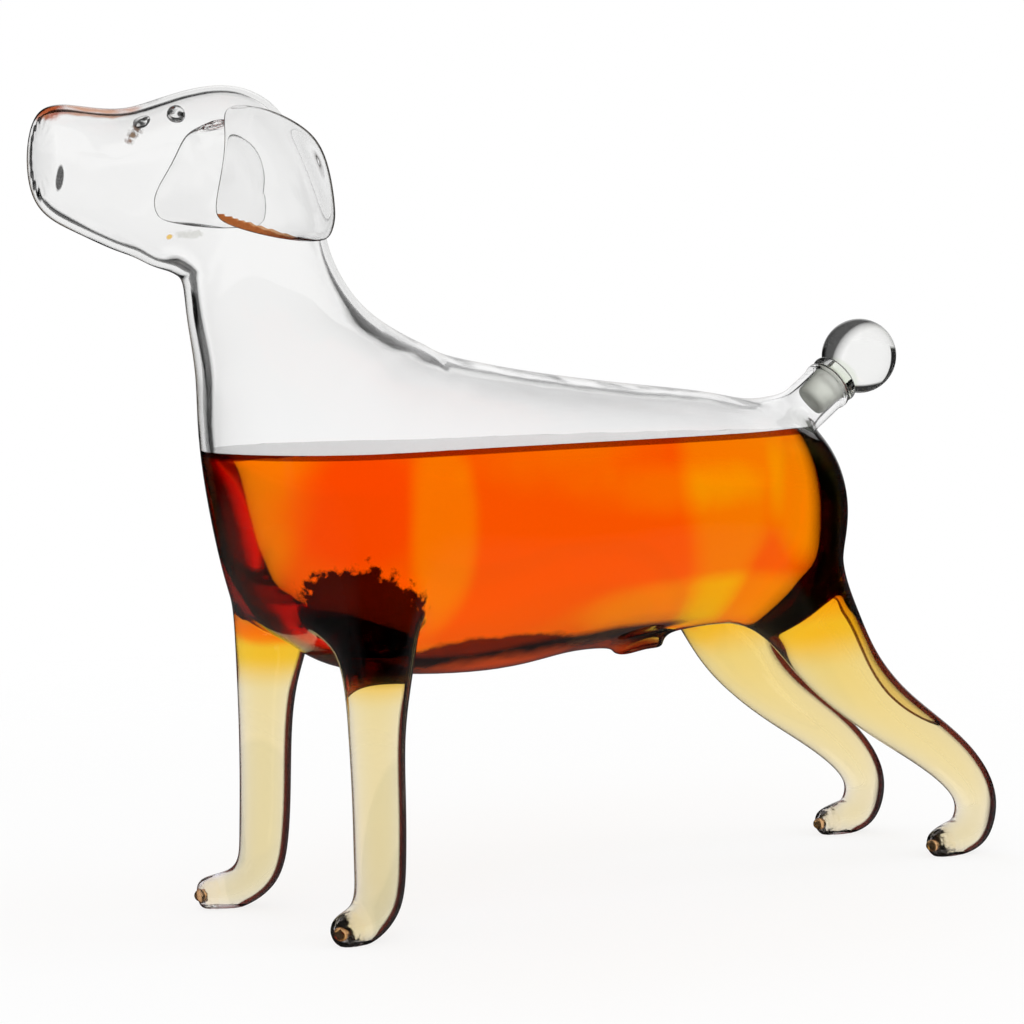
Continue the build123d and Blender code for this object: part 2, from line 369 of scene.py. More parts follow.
# %% A patch round a place, with a ragged edge, shared by the glass and the liquor
patch, given = node_group("patch_at_place", (
    ("Place", "INPUT", "Vector"),
    ("Reach", "INPUT", "Vector"),
    ("Grain", "INPUT", "Float"),
    ("Ragged", "INPUT", "Float"),
    ("Soft", "INPUT", "Float"),
    ("Both Sides", "INPUT", "Float"),
    ("Mask", "OUTPUT", "Float"),
))
patch_place = add_node(patch, "ShaderNodeTexCoord").outputs["Object"]
axes = add_node(patch, "ShaderNodeSeparateXYZ", {"Vector": patch_place}).outputs
across = add_node(patch, "ShaderNodeMix", {
    "Factor": given["Both Sides"], "A": axes["Y"], "B": math_value(patch, "ABSOLUTE", axes["Y"]),
}).outputs["Result"]
patch_spot = add_node(
    patch, "ShaderNodeCombineXYZ", {"X": axes["X"], "Y": across, "Z": axes["Z"]},
).outputs["Vector"]
away = vector_math(patch, "SUBTRACT", patch_spot, given["Place"]).outputs["Vector"]
away = vector_math(patch, "DIVIDE", away, given["Reach"]).outputs["Vector"]
away = vector_math(patch, "LENGTH", away).outputs["Value"]
patch_noise = add_node(
    patch, "ShaderNodeTexNoise", {"Vector": patch_place, "Scale": given["Grain"], "Detail": 3},
).outputs["Fac"]
away = math_value(patch, "MULTIPLY_ADD", patch_noise, given["Ragged"], away)
patch_outer = math_value(patch, "ADD", 1.0, given["Soft"])
patch_inner = math_value(patch, "SUBTRACT", 1.0, given["Soft"])
patch_fall = share_between(patch, away, patch_outer, patch_inner)
add_node(patch, "NodeGroupOutput", {"Mask": patch_fall})
print("patch group ready")


def patch_mask(tree, place, reach, grain, ragged, soft=0.2, both_sides=1):
    """The mask of one patch: its middle, its half sizes, and how ragged and soft its edge is."""
    return add_node(tree, "ShaderNodeGroup", {
        "Place": place, "Reach": reach, "Grain": grain, "Ragged": ragged, "Soft": soft,
        "Both Sides": both_sides,
    }, node_tree=patch).outputs["Mask"]


# %% A glass material
def edge_value(tree, lean, turned):
    """How nearly end on a face is seen, with more added for faces that turn toward the lean.

    The faces of an inside wall point into the hollow, so their direction is turned round.
    """
    facing = add_node(tree, "ShaderNodeLayerWeight", {"Blend": 0.5}).outputs["Facing"]
    outward = add_node(tree, "ShaderNodeTexCoord").outputs["Normal"]
    backfacing = add_node(tree, "ShaderNodeNewGeometry").outputs["Backfacing"]
    toward = vector_math(tree, "DOT_PRODUCT", outward, lean).outputs["Value"]
    sign = math_value(tree, "MULTIPLY_ADD", backfacing, -2 * turned, turned)
    return math_value(tree, "ADD", facing, math_value(tree, "MULTIPLY", toward, sign))


shade_edge = (30, 0.3, 0.35)  # grain, ragged and soft, as patch_mask takes them
lamp_tint = (0.93, 0.93, 0.93)
glass_index = 1.5
liquor_index = 1.36


def glass_material(name, edge_stops, wave_scale, wave_height, lean=(0, 0, 0), turned=1,
                   roughness=0.0, mirror=1.0, marks=(), shades=()):
    """Clear glass whose colour is painted dark where it is seen end on, and more so on faces that turn
    toward the lean: a painted shade.

    A mark paints a colour at a place. A shade widens or narrows the painted dark edge near a place.
    """
    material, tree = new_material(name)
    edge = edge_value(tree, lean, turned)
    for shade_at, shade_reach, amount in shades:
        mask = patch_mask(tree, shade_at, shade_reach, *shade_edge)
        edge = math_value(tree, "MULTIPLY_ADD", mask, amount, edge)
    colour = colour_ramp(tree, edge, edge_stops)
    for mark_at, mark_reach, mark_colour, grain, ragged, soft, both_sides in marks:
        mask = patch_mask(tree, mark_at, mark_reach, grain, ragged, soft, both_sides)
        colour = multiplied(tree, colour, mixed(tree, mask, white, mark_colour))
    waves = add_node(
        tree, "ShaderNodeGroup", {"Scale": wave_scale, "Height": wave_height}, node_tree=ripple,
    )
    glass = add_node(tree, "ShaderNodeBsdfPrincipled", {
        "Base Color": colour, "Roughness": roughness, "IOR": glass_index, "Transmission Weight": 1,
        "Specular Tint": (mirror, mirror, mirror), "Normal": waves.outputs["Normal"],
    })
    surface = let_lamps_through(tree, glass.outputs["BSDF"], lamp_tint)
    add_node(tree, "ShaderNodeOutputMaterial", {"Surface": surface})
    return material


# %% Places of the dog, and the glass that changes at them
nose_x = box_low[0]
front_tip = Vector((nose_x + 0.211 * length, 0.041, 0.0045))
hind_tip = Vector((nose_x + 0.915 * length, 0.0295, 0.0040))
tip_reach = (0.012, 0.014, 0.010)
tail_rise = math.radians(34.5)
tail_along = Vector((math.cos(tail_rise), 0, math.sin(tail_rise)))
tail_base = Vector((nose_x + 0.809 * length, 0, 0.578 * height))
tail_middle = tail_base + 11 * mm * tail_along
collar_spot = tail_base + 24.1 * mm * tail_along
snout_end = Vector((nose_x + 0.012 * length, 0, 0.968 * height))
snout_top = Vector((nose_x + 0.060 * length, 0, 0.975 * height))
glass_marks = (               # place, half sizes, colour, grain, ragged, soft, on both sides
    # Painted amber reflections of the liquor at the tips of the paws
    (front_tip, (0.009, 0.012, 0.009), (0.75, 0.18, 0.03), 260, 0.9, 0.2, 1),
    (hind_tip, (0.008, 0.010, 0.008), (0.55, 0.16, 0.04), 260, 0.9, 0.2, 1),
    # Brown streaks painted along the top of the snout, a painted reflection of the amber liquor in the wall
    (snout_end, (0.009, 0.012, 0.006), (0.50, 0.10, 0.03), 260, 0.9, 0.2, 1),
    (snout_top, (0.022, 0.012, 0.004), (0.60, 0.20, 0.10), 150, 0.9, 0.2, 1),
    # Dark streaks painted along the wrinkle of the brow, a painted shade of the crease
    ((-0.1480, -0.011, 0.2354), (0.0024, 0.009, 0.0018), (0.12, 0.06, 0.04), 1100, 1.0, 0.3, 0),
    ((-0.1464, -0.011, 0.2371), (0.0027, 0.009, 0.0022), (0.08, 0.04, 0.02), 1100, 1.0, 0.3, 0),
    ((-0.1446, -0.011, 0.2390), (0.0026, 0.009, 0.0024), (0.06, 0.03, 0.02), 1100, 1.0, 0.3, 0),
    ((-0.1426, -0.010, 0.2408), (0.0024, 0.009, 0.0022), (0.01, 0.01, 0.01), 1100, 1.0, 0.3, 0),
    # Dark flecks near the end of the snout
    ((-0.1690, -0.008, 0.2249), (0.0010, 0.008, 0.0044), (0.02, 0.02, 0.02), 200, 0.3, 0.12, 0),
    ((-0.1724, -0.004, 0.2362), (0.0010, 0.008, 0.0026), (0.08, 0.08, 0.07), 300, 0.4, 0.12, 0),
    # Grey waves painted under the jaw, and a painted golden glint there, a painted highlight
    ((-0.1300, -0.016, 0.2086), (0.0080, 0.007, 0.0022), (0.66, 0.66, 0.62), 500, 0.8, 0.15, 0),
    ((-0.1353, -0.016, 0.2079), (0.0013, 0.007, 0.0011), (0.85, 0.40, 0.04), 300, 0.2, 0.15, 0),
    # The glass of the head and neck is painted a little greyer, a painted shade
    ((-0.120, 0.0, 0.215), (0.095, 0.100, 0.080), (0.955, 0.955, 0.950), 30, 0.2, 0.3, 1),
    # The drop under the belly is painted dark brown, a painted shade
    ((0.0432, 0.0, 0.0745), (0.011, 0.013, 0.0065), (0.20, 0.05, 0.015), 200, 0.3, 0.2, 1),
)
blown_scale = 38
blown_height = 0.25 * mm
# The outer wall is painted dark where it is seen end on, a painted shade; a shade widens it at the muzzle
clear_glass = glass_material(
    "clear_blown_glass", ((0.78, white), (0.92, (0.10, 0.07, 0.04))), blown_scale, blown_height,
    lean=(-0.04, 0, -0.02), marks=glass_marks,
    shades=(((-0.168, 0.0, 0.220), (0.014, 0.05, 0.022), 0.12),),
)
# The inner wall is painted black where it is seen end on, a painted shade; shades widen it at the muzzle,
# the neck, the nape and under the tail, and take it away at the tips of the paws
inner_glass = glass_material(
    "inner_wall_glass", ((0.68, white), (0.77, black)), blown_scale, blown_height,
    lean=(-0.15, 0, -0.06), turned=-1, mirror=0.05,
    shades=(
        ((-0.168, 0.0, 0.220), (0.016, 0.05, 0.022), 0.12),
        ((-0.112, 0.0, 0.180), (0.022, 0.06, 0.055), 0.05),
        ((-0.052, 0.0, 0.190), (0.042, 0.06, 0.030), 0.20),
        (tail_middle - Vector((0, 0, 0.007)), (0.014, 0.012, 0.008), 0.16),
        (front_tip, tip_reach, -0.60),
        (hind_tip, tip_reach, -0.60),
    ),
)
# The collar is a thick disc, in which the green of the glass shows. The stopper is painted dark where
# it is seen end on, more toward the front and the top, a painted shade
stopper_glass = glass_material(
    "clear_stopper_glass", ((0.70, (0.96, 0.96, 0.95)), (0.95, (0.01, 0.01, 0.01))), 60, 0.02 * mm,
    lean=(-0.66, 0, 0.30),
    marks=((collar_spot, (0.008, 0.009, 0.008), (0.80, 0.86, 0.74), 60, 0.1, 0.1, 1),),
)
# The outer wall at the tips of the paws is painted amber-brown at its edges, a painted reflection of the
# liquor
tip_glass = glass_material(
    "sealed_tip_glass", ((0.55, (1.0, 0.96, 0.90)), (0.85, (0.30, 0.08, 0.02))), 330, 0.7 * mm,
    roughness=0.18,
)
# The ground plug is painted dark where it is seen end on, a painted shade
ground_glass = glass_material(
    "ground_plug_glass", ((0.0, (0.90, 0.92, 0.84)), (0.9, (0.12, 0.13, 0.10))), 900, 0.05 * mm,
    roughness=0.55,
)
print("glass:", clear_glass.name, inner_glass.name, stopper_glass.name, tip_glass.name, ground_glass.name)

# %% The liquor
liquor_level = 0.570 * height
liquor_matter, tree = new_material("amber_liquor")
# The deep body is painted redder than its thickness alone gives, a painted shade, and golden where
# light is gathered, a painted highlight
golden_patches = (            # place and half sizes; each shows on both sides of the dog
    ((-0.122, 0.032, 0.122), (0.018, 0.04, 0.030)),
    ((-0.060, 0.040, 0.122), (0.014, 0.04, 0.040)),
    ((0.086, 0.036, 0.124), (0.020, 0.04, 0.024)),
    ((0.048, 0.034, 0.091), (0.062, 0.04, 0.012)),
)
golden = 0.0
for gold_place, gold_reach in golden_patches:
    gold_mask = patch_mask(tree, gold_place, gold_reach, 22, 0.4, 0.25)
    golden = math_value(tree, "MAXIMUM", golden, gold_mask)
streak_share = 0.6
streak = patch_mask(tree, (0.030, 0.040, 0.129), (0.042, 0.04, 0.009), 60, 0.7, 0.55)
golden = math_value(tree, "MAXIMUM", golden, math_value(tree, "MULTIPLY", streak, streak_share))
deep = patch_mask(tree, (-0.087, 0.040, 0.127), (0.026, 0.04, 0.022), 22, 0.3, 0.2)
orange = (1.0, 0.26, 0.01)
deep_orange = (1.0, 0.14, 0.01)
bright_gold = (1.0, 0.96, 0.03)
body_tint = mixed(tree, golden, mixed(tree, deep, orange, deep_orange), bright_gold)
# Straw in the legs, painted greyer low down on the front legs, a painted shade, and gold where they leave
# the body
straw = (0.90, 0.88, 1.0)
grey_straw = (0.76, 0.76, 0.85)
root_gold = (0.95, 0.68, 0.10)
low_leg = patch_mask(tree, (-0.076, 0.041, 0.014), (0.013, 0.012, 0.042), 30, 0.1, 0.04)
leg_tint = mixed(
    tree, between(tree, "Z", 0.067, 0.080), mixed(tree, low_leg, straw, grey_straw), root_gold,
)
film = mixed(tree, between(tree, "Z", 0.082, 0.088), leg_tint, body_tint)
# A painted dark band under the surface, the painted shade of the meniscus where the liquor climbs the wall
line_brown = (0.12, 0.010, 0.004)
near_surface = between(tree, "Z", liquor_level - 1.9 * mm, liquor_level - 1.5 * mm)
film = mixed(tree, near_surface, film, line_brown)
# The shadows that the roots of the front legs and the belly throw up into the body
shadow_patches = (            # place, half sizes, colour, grain, ragged, soft
    ((-0.094, -0.038, 0.090), (0.040, 0.032, 0.029), (0.003, 0.0001, 0.0001), 330, 0.50, 0.05),
    ((-0.030, -0.024, 0.0815), (0.042, 0.030, 0.0080), (0.030, 0.002, 0.001), 120, 0.50, 0.10),
)
above_legs = between(tree, "Z", 0.074, 0.079)
for shadow_place, shadow_reach, shadow_colour, grain, ragged, soft in shadow_patches:
    ragged_patch = patch_mask(tree, shadow_place, shadow_reach, grain, ragged, soft, 0)
    film = mixed(tree, math_value(tree, "MULTIPLY", ragged_patch, above_legs), film, shadow_colour)
# The liquor is painted dark where it is seen end on, a painted shade. Down the legs the painted dark edge
# is wider on the side that faces the tail
body_edge = edge_value(tree, (0.07, 0, 0), 1)
leg_edge = edge_value(tree, (0.15, 0, 0), 1)
in_legs = between(tree, "Z", 0.076, 0.066)
wider = math_value(tree, "SUBTRACT", leg_edge, body_edge)
edge = math_value(tree, "MULTIPLY_ADD", wider, in_legs, body_edge)
# The thick end over the hind legs gathers the dark of the studio, so its dark edge is wider
rump_extra = 0.165
rump = math_value(
    tree, "MULTIPLY", between(tree, "X", 0.092, 0.125), between(tree, "Z", 0.075, 0.095),
)
edge = math_value(tree, "MULTIPLY_ADD", rump, rump_extra, edge)
# There is no dark edge at the tips of the paws
tip_extra = -0.4
for tip in (front_tip, hind_tip):
    at_tip = patch_mask(tree, tip, tip_reach, 30, 0.2, 0.3)
    edge = math_value(tree, "MULTIPLY_ADD", at_tip, tip_extra, edge)
edge_film = colour_ramp(tree, edge, ((0.235, white), (0.31, (0.028, 0.001, 0.0005))))
liquor_face = add_node(tree, "ShaderNodeBsdfPrincipled", {
    "Base Color": multiplied(tree, film, edge_film), "Roughness": 0, "IOR": liquor_index,
    "Transmission Weight": 1, "Specular Tint": (0.02, 0.02, 0.02),
})
# Along the low edge of the belly the liquor is painted with a red diffuse patch, a painted glow, as if a
# little light were scattered there
glow_red = (1.0, 0.13, 0.015)
scattered = add_node(tree, "ShaderNodeBsdfDiffuse", {"Color": glow_red})
belly_glow = patch_mask(tree, (-0.006, 0.0, 0.0690), (0.066, 0.060, 0.0155), 90, 0.35, 0.2)
liquor_skin = mixed_shaders(
    tree, belly_glow, liquor_face.outputs["BSDF"], scattered.outputs["BSDF"],
)
liquor_depth = add_node(
    tree, "ShaderNodeVolumeAbsorption", {"Color": (1.0, 0.83, 0.0), "Density": 68},
)
add_node(tree, "ShaderNodeOutputMaterial", {
    "Surface": let_lamps_through(tree, liquor_skin, white),
    "Volume": liquor_depth.outputs["Volume"],
})
print(liquor_matter.name)

# %% [markdown]
# ## The cage of the vessel
# A glassblower pulls the dog out of one bubble. The mesh is made the same way: oval rings are set
# along the body, bridged into a tube, and closed at the rump and the snout. The rings follow the
# CAD sections. A subdivided surface pulls in from its cage, so the cage is pushed out first.


# %% Rings and bridges
def spot(along_share, up_share, across=0):
    """A point of the dog, from its shares of the length and the height."""
    return Vector((nose_x + along_share * length, across, up_share * height))


def pushed_out(rows):
    """Rows of a cage, moved so that the smooth surface passes through the given rows."""
    wanted = [list(row) for row in rows]
    cage = [list(row) for row in rows]
    for step in range(12):
        for number in range(1, len(cage) - 1):
            for column in range(len(cage[0])):
                around = cage[number - 1][column] + cage[number + 1][column]
                smooth = (around + 4 * cage[number][column]) / 6
                cage[number][column] += wanted[number][column] - smooth
    return cage


def ring_shrink(sides):
    """How far a ring of so many sides shrinks when it is subdivided."""
    return (2 + math.cos(2 * math.pi / sides)) / 3


def add_ring(middle, along, half_width, half_height, sides):
    """A ring of points, square to a direction, with its width lying across the dog."""
    across = Vector((0, 1, 0))
    across = (across - across.dot(along) * along / along.length_squared).normalized()
    forward = along.normalized()
    own_axes = Matrix((across, forward.cross(across), forward)).transposed()
    grow = 1 / ring_shrink(sides)
    bpy.ops.mesh.primitive_circle_add(
        vertices=sides, radius=1, location=middle, rotation=own_axes.to_euler(),
    )
    bpy.ops.transform.resize(
        value=(half_width * grow, half_height * grow, 1), center_override=middle,
        orient_type="GLOBAL", orient_matrix=own_axes, orient_matrix_type="GLOBAL",
    )


def edit_points():
    """The mesh of the piece that is being edited."""
    return bmesh.from_edit_mesh(bpy.context.object.data)


def select_points(first_point, count):
    """Select points that were added one after another, and nothing else."""
    bpy.ops.mesh.select_all(action="DESELECT")
    cage = edit_points()
    cage.verts.ensure_lookup_table()
    for index in range(first_point, first_point + count):
        cage.verts[index].select = True
    cage.select_flush(True)


def bridge_rings(first_point, sides, count):
    """Bridge rings that were added one after another, each to the next."""
    for number in range(count - 1):
        select_points(first_point + number * sides, 2 * sides)
        bpy.ops.mesh.bridge_edge_loops()


def close_ring(first_point, sides):
    """Close the end of a tube with a face."""
    select_points(first_point, sides)
    bpy.ops.mesh.edge_face_add()


def bridge_openings(near, reach):
    """Bridge the two open loops that lie near a point."""
    bpy.ops.mesh.select_all(action="DESELECT")
    cage = edit_points()
    chosen = 0
    for edge in cage.edges:
        if edge.is_boundary and all((point.co - near).length < reach for point in edge.verts):
            edge.select = True
            chosen += 1
    bmesh.update_edit_mesh(bpy.context.object.data)
    bpy.ops.mesh.bridge_edge_loops()
    return chosen


def open_hole(near):
    """Take out the cage point nearest to a place, which leaves an eight-sided hole."""
    bpy.ops.mesh.select_all(action="DESELECT")
    cage = edit_points()
    nearest = min(cage.verts, key=lambda point: (point.co - near).length)
    nearest.select = True
    where = nearest.co.copy()
    bmesh.update_edit_mesh(bpy.context.object.data)
    bpy.ops.mesh.delete(type="VERT")
    return where


print("ring tools ready; a 16-sided ring shrinks to", round(ring_shrink(16), 4))

# %% Body and head, one tube of oval rings
chest_width = 86 * mm
body_rows = (                 # top x, top z, low x, low z, width as a share of the chest
    (0.8400, 0.5010, 0.8400, 0.4300, 0.21),
    (0.8250, 0.5560, 0.8250, 0.3740, 0.53),
    (0.7990, 0.5920, 0.7990, 0.3380, 0.74),
    (0.7550, 0.6080, 0.7550, 0.3270, 0.835),
    (0.7020, 0.6220, 0.7020, 0.3230, 0.91),
    (0.6260, 0.6340, 0.6260, 0.3250, 0.96),
    (0.5270, 0.6500, 0.5270, 0.3040, 0.99),
    (0.4480, 0.6670, 0.4370, 0.2870, 1.00),
    (0.3960, 0.6820, 0.3080, 0.3000, 1.00),
    (0.3740, 0.6945, 0.2520, 0.3330, 0.98),
    (0.3530, 0.7070, 0.2070, 0.3880, 0.95),
    (0.3160, 0.7330, 0.1780, 0.5350, 0.86),
    (0.2910, 0.7640, 0.1680, 0.6420, 0.70),
    (0.2760, 0.8040, 0.1550, 0.7190, 0.566),
    (0.2680, 0.8530, 0.1480, 0.7640, 0.495),
    (0.2540, 0.9230, 0.1380, 0.7780, 0.464),
    (0.2220, 0.9840, 0.1270, 0.7840, 0.442),
    (0.1720, 1.0000, 0.1120, 0.7900, 0.420),
    (0.1190, 0.9840, 0.0950, 0.8000, 0.389),
    (0.0840, 0.9720, 0.0730, 0.8100, 0.345),
    (0.0520, 0.9720, 0.0440, 0.8260, 0.309),
    (0.0260, 0.9745, 0.0200, 0.8410, 0.285),
    (0.0090, 0.9690, 0.0060, 0.8580, 0.230),
    (0.0018, 0.9540, 0.0002, 0.8800, 0.125),
)
body_sides = 16

bpy.ops.object.select_all(action="DESELECT")
bpy.ops.mesh.primitive_circle_add(vertices=body_sides, radius=mm)
vessel = bpy.context.object
vessel.name = "vessel_glass"
bpy.ops.object.mode_set(mode="EDIT")
bpy.ops.mesh.delete(type="VERT")
for top_x, top_z, low_x, low_z, width_share in pushed_out(body_rows):
    top = spot(top_x, top_z)
    low = spot(low_x, low_z)
    ring_along = Vector((0, 1, 0)).cross(top - low)
    add_ring((top + low) / 2, ring_along, width_share * chest_width / 2, (top - low).length / 2, body_sides)
bridge_rings(0, body_sides, len(body_rows))
close_ring(0, body_sides)
close_ring((len(body_rows) - 1) * body_sides, body_sides)
print("body cage has", len(edit_points().faces), "faces")

# %% [markdown]
# ## Legs and tail
# Each leg of the real dog is a tube that the glassblower fuses to the body. In the cage, one point
# is taken out where a leg grows. That leaves a hole with eight sides, which is bridged to the
# eight-sided rings of the leg. The tail grows in the same way.

# %% Four legs
leg_radius = 8 * mm
front_half_stance = 32.5 * mm
hind_half_stance = 28.5 * mm
front_rows = (                # x share, y share of half the stance, z share, radius share
    (0.276, 0.91, 0.341, 1.50),
    (0.273, 0.96, 0.289, 1.22),
    (0.271, 0.98, 0.230, 1.05),
    (0.271, 1.00, 0.158, 1.00),
    (0.270, 1.02, 0.091, 0.98),
    (0.264, 1.06, 0.044, 0.93),
    (0.244, 1.14, 0.022, 0.82),
    (0.223, 1.22, 0.018, 0.66),
    (0.212, 1.26, 0.017, 0.42),
)
hind_rows = (
    (0.789, 0.88, 0.303, 1.81),
    (0.817, 0.93, 0.254, 1.50),
    (0.859, 0.97, 0.204, 1.23),
    (0.908, 0.99, 0.160, 1.09),
    (0.951, 1.00, 0.117, 1.01),
    (0.975, 1.00, 0.071, 0.94),
    (0.969, 1.00, 0.033, 0.90),
    (0.950, 1.00, 0.021, 0.79),
    (0.929, 1.02, 0.017, 0.64),
    (0.917, 1.03, 0.016, 0.42),
)
leg_sides = 8


def add_leg(rows, half_stance, side):
    """Rings down one leg, bridged to each other and closed at the paw. Gives the top's middle."""
    cage_rows = pushed_out(rows)
    middles = [spot(x, z, side * y * half_stance) for x, y, z, radius in cage_rows]
    first_point = len(edit_points().verts)
    for number, middle in enumerate(middles):
        before = middles[max(number - 1, 0)]
        after = middles[min(number + 1, len(middles) - 1)]
        radius = cage_rows[number][-1] * leg_radius
        add_ring(middle, after - before, radius, radius, leg_sides)
    bridge_rings(first_point, leg_sides, len(middles))
    close_ring(first_point + (len(middles) - 1) * leg_sides, leg_sides)
    return middles[0]


leg_reach = 34 * mm
tail_reach = 19 * mm
growths = []                  # where a limb grows, the middle between its two openings, their reach
for side in (-1, 1):
    shoulder = spot(0.275, 0.395, side * 30 * mm)
    front_top = add_leg(front_rows, front_half_stance, side)
    growths.append((shoulder, (shoulder + front_top) / 2, leg_reach))
    hip = spot(0.755, 0.37, side * 26 * mm)
    hind_top = add_leg(hind_rows, hind_half_stance, side)
    growths.append((hip, (hip + hind_top) / 2, leg_reach))
print("cage has", len(edit_points().faces), "faces")

# %% The tail, which is the neck of the bottle
rim_place = 21.6 * mm
tail_rows = (                 # distance beyond the base, radius
    (4.0 * mm, 8.3 * mm),
    (9.0 * mm, 8.2 * mm),
    (15.0 * mm, 8.2 * mm),
    (18.6 * mm, 8.2 * mm),
    (19.4 * mm, 8.75 * mm),
    (20.9 * mm, 8.85 * mm),
    (21.6 * mm, 8.35 * mm),
)
first_point = len(edit_points().verts)
for beyond, radius in tail_rows:
    add_ring(tail_base + beyond * tail_along, tail_along, radius, radius, leg_sides)
bridge_rings(first_point, leg_sides, len(tail_rows))
tail_root = spot(0.799, 0.592)
growths.append((tail_root, tail_root - 6 * mm * tail_along, tail_reach))

# %% The drop under the belly, drawn out of the skin
nub_spot = spot(0.626, 0.325)
nub_inset = 11 * mm
nub_sink = 1.5 * mm
nub_drop = 6.5 * mm
bpy.ops.mesh.select_all(action="DESELECT")
cage = edit_points()
nub_point = min(cage.verts, key=lambda point: (point.co - nub_spot).length)
nub_middle = nub_point.co.copy()
for face in nub_point.link_faces:
    face.select = True
bmesh.update_edit_mesh(vessel.data)
bpy.ops.mesh.inset(thickness=nub_inset)
bpy.ops.transform.resize(value=(0.36, 0.80, 1), center_override=nub_middle)
bpy.ops.transform.translate(value=(0, 0, -nub_sink))
bpy.ops.mesh.extrude_region_move(TRANSFORM_OT_translate={"value": (0, 0, -nub_drop)})
nub_end = nub_middle - Vector((0, 0, nub_sink + nub_drop))
bpy.ops.transform.resize(value=(1.25, 1.1, 0.5), center_override=nub_end)
print("belly drop drawn from", [round(v / mm, 1) for v in nub_middle])

# %% Open the body at each limb and bridge it
for root, middle, reach in growths:
    hole = open_hole(root)
    edges = bridge_openings(middle, reach)
    print("bridged over", edges, "edges, hole at", [round(v / mm) for v in hole])
bpy.ops.mesh.select_all(action="SELECT")
bpy.ops.mesh.normals_make_consistent(inside=False)
open_edges = sum(edge.is_boundary for edge in edit_points().edges)
print("open edges left at the mouth:", open_edges)
bpy.ops.object.mode_set(mode="OBJECT")


# %% Smooth the cage and flatten the soles
def finish_modifier(piece, kind, **settings):
    """Add a modifier to a piece and apply it."""
    bpy.ops.object.select_all(action="DESELECT")
    bpy.context.view_layer.objects.active = piece
    piece.select_set(True)
    bpy.ops.object.modifier_add(type=kind)
    modifier = piece.modifiers[-1]
    for setting, value in settings.items():
        setattr(modifier, setting, value)
    bpy.ops.object.modifier_apply(modifier=modifier.name)


smooth_levels = 3
finish_modifier(vessel, "SUBSURF", levels=smooth_levels, render_levels=smooth_levels)
bpy.ops.object.mode_set(mode="EDIT")
bpy.ops.mesh.select_all(action="DESELECT")
skin = edit_points()
for point in skin.verts:
    point.select = point.co.z < 0
bmesh.update_edit_mesh(vessel.data)
skin.select_flush(True)
bpy.ops.transform.resize(value=(1, 1, 0), center_override=(0, 0, 0))
bpy.ops.object.mode_set(mode="OBJECT")
bpy.ops.object.shade_smooth()
print("skin has", len(vessel.data.polygons), "faces, box",
      [round(v / mm, 1) for v in vessel.dimensions])

# %% [markdown]
# ## The liquor and the wall
# The liquor fills the bottle, so its surface is the inside of the skin. A copy of the skin is
# drawn in by the wall and cut level at the line. It reaches a hair's breadth into the glass, so
# that light crosses from glass to liquor with no film of air. Then the skin gets its wall.

# %% The fill
wall = 2.0 * mm
reach_into_wall = 0.12 * mm
bpy.ops.object.select_all(action="DESELECT")
vessel.select_set(True)
bpy.context.view_layer.objects.active = vessel
bpy.ops.object.duplicate()
fill = bpy.context.object
fill.name = "liquor_fill"
bpy.ops.object.mode_set(mode="EDIT")
bpy.ops.mesh.select_all(action="SELECT")
bpy.ops.transform.shrink_fatten(value=-(wall - reach_into_wall), use_even_offset=True)
bpy.ops.mesh.select_all(action="SELECT")
bpy.ops.mesh.bisect(
    plane_co=(0, 0, liquor_level), plane_no=(0, 0, 1), use_fill=True, clear_outer=True,
)
bpy.ops.mesh.select_all(action="DESELECT")
fill_points = edit_points()
hair = 0.001 * mm
for face in fill_points.faces:
    face.select = face.calc_center_median().z > liquor_level - hair
bmesh.update_edit_mesh(fill.data)
bpy.ops.mesh.faces_shade_flat()
bpy.ops.mesh.region_to_loop()
bpy.ops.mesh.mark_sharp()
bpy.ops.object.mode_set(mode="OBJECT")
print("fill reaches up to", round(max(point.co.z for point in fill.data.vertices) / mm, 2), "mm, box",
      [round(v / mm, 1) for v in fill.dimensions])

# %% The wall of the vessel
vessel.data.materials.clear()
vessel.data.materials.append(clear_glass)
vessel.data.materials.append(inner_glass)
finish_modifier(vessel, "SOLIDIFY", thickness=wall, offset=-1, use_even_offset=True, material_offset=1)
vessel.data.materials.append(tip_glass)
paw_tips = [Vector((tip.x, side * tip.y, tip.z)) for tip in (front_tip, hind_tip) for side in (-1, 1)]
sealed_reach = 8.5 * mm
tip_faces = 0
for face in vessel.data.polygons:
    if face.material_index == 0 and min((face.center - tip).length for tip in paw_tips) < sealed_reach:
        face.material_index = 2
        tip_faces += 1
print("faces at the sealed tips:", tip_faces)
fill.data.materials.clear()
fill.data.materials.append(liquor_matter)
print("vessel has", len(vessel.data.polygons), "faces")


# %% [markdown]
# ## The stopper
# Ball, collar and plug are one piece of solid glass. It is turned here as a profile spun round
# the tail's axis. The plug's side is ground, which makes it rough and grey.

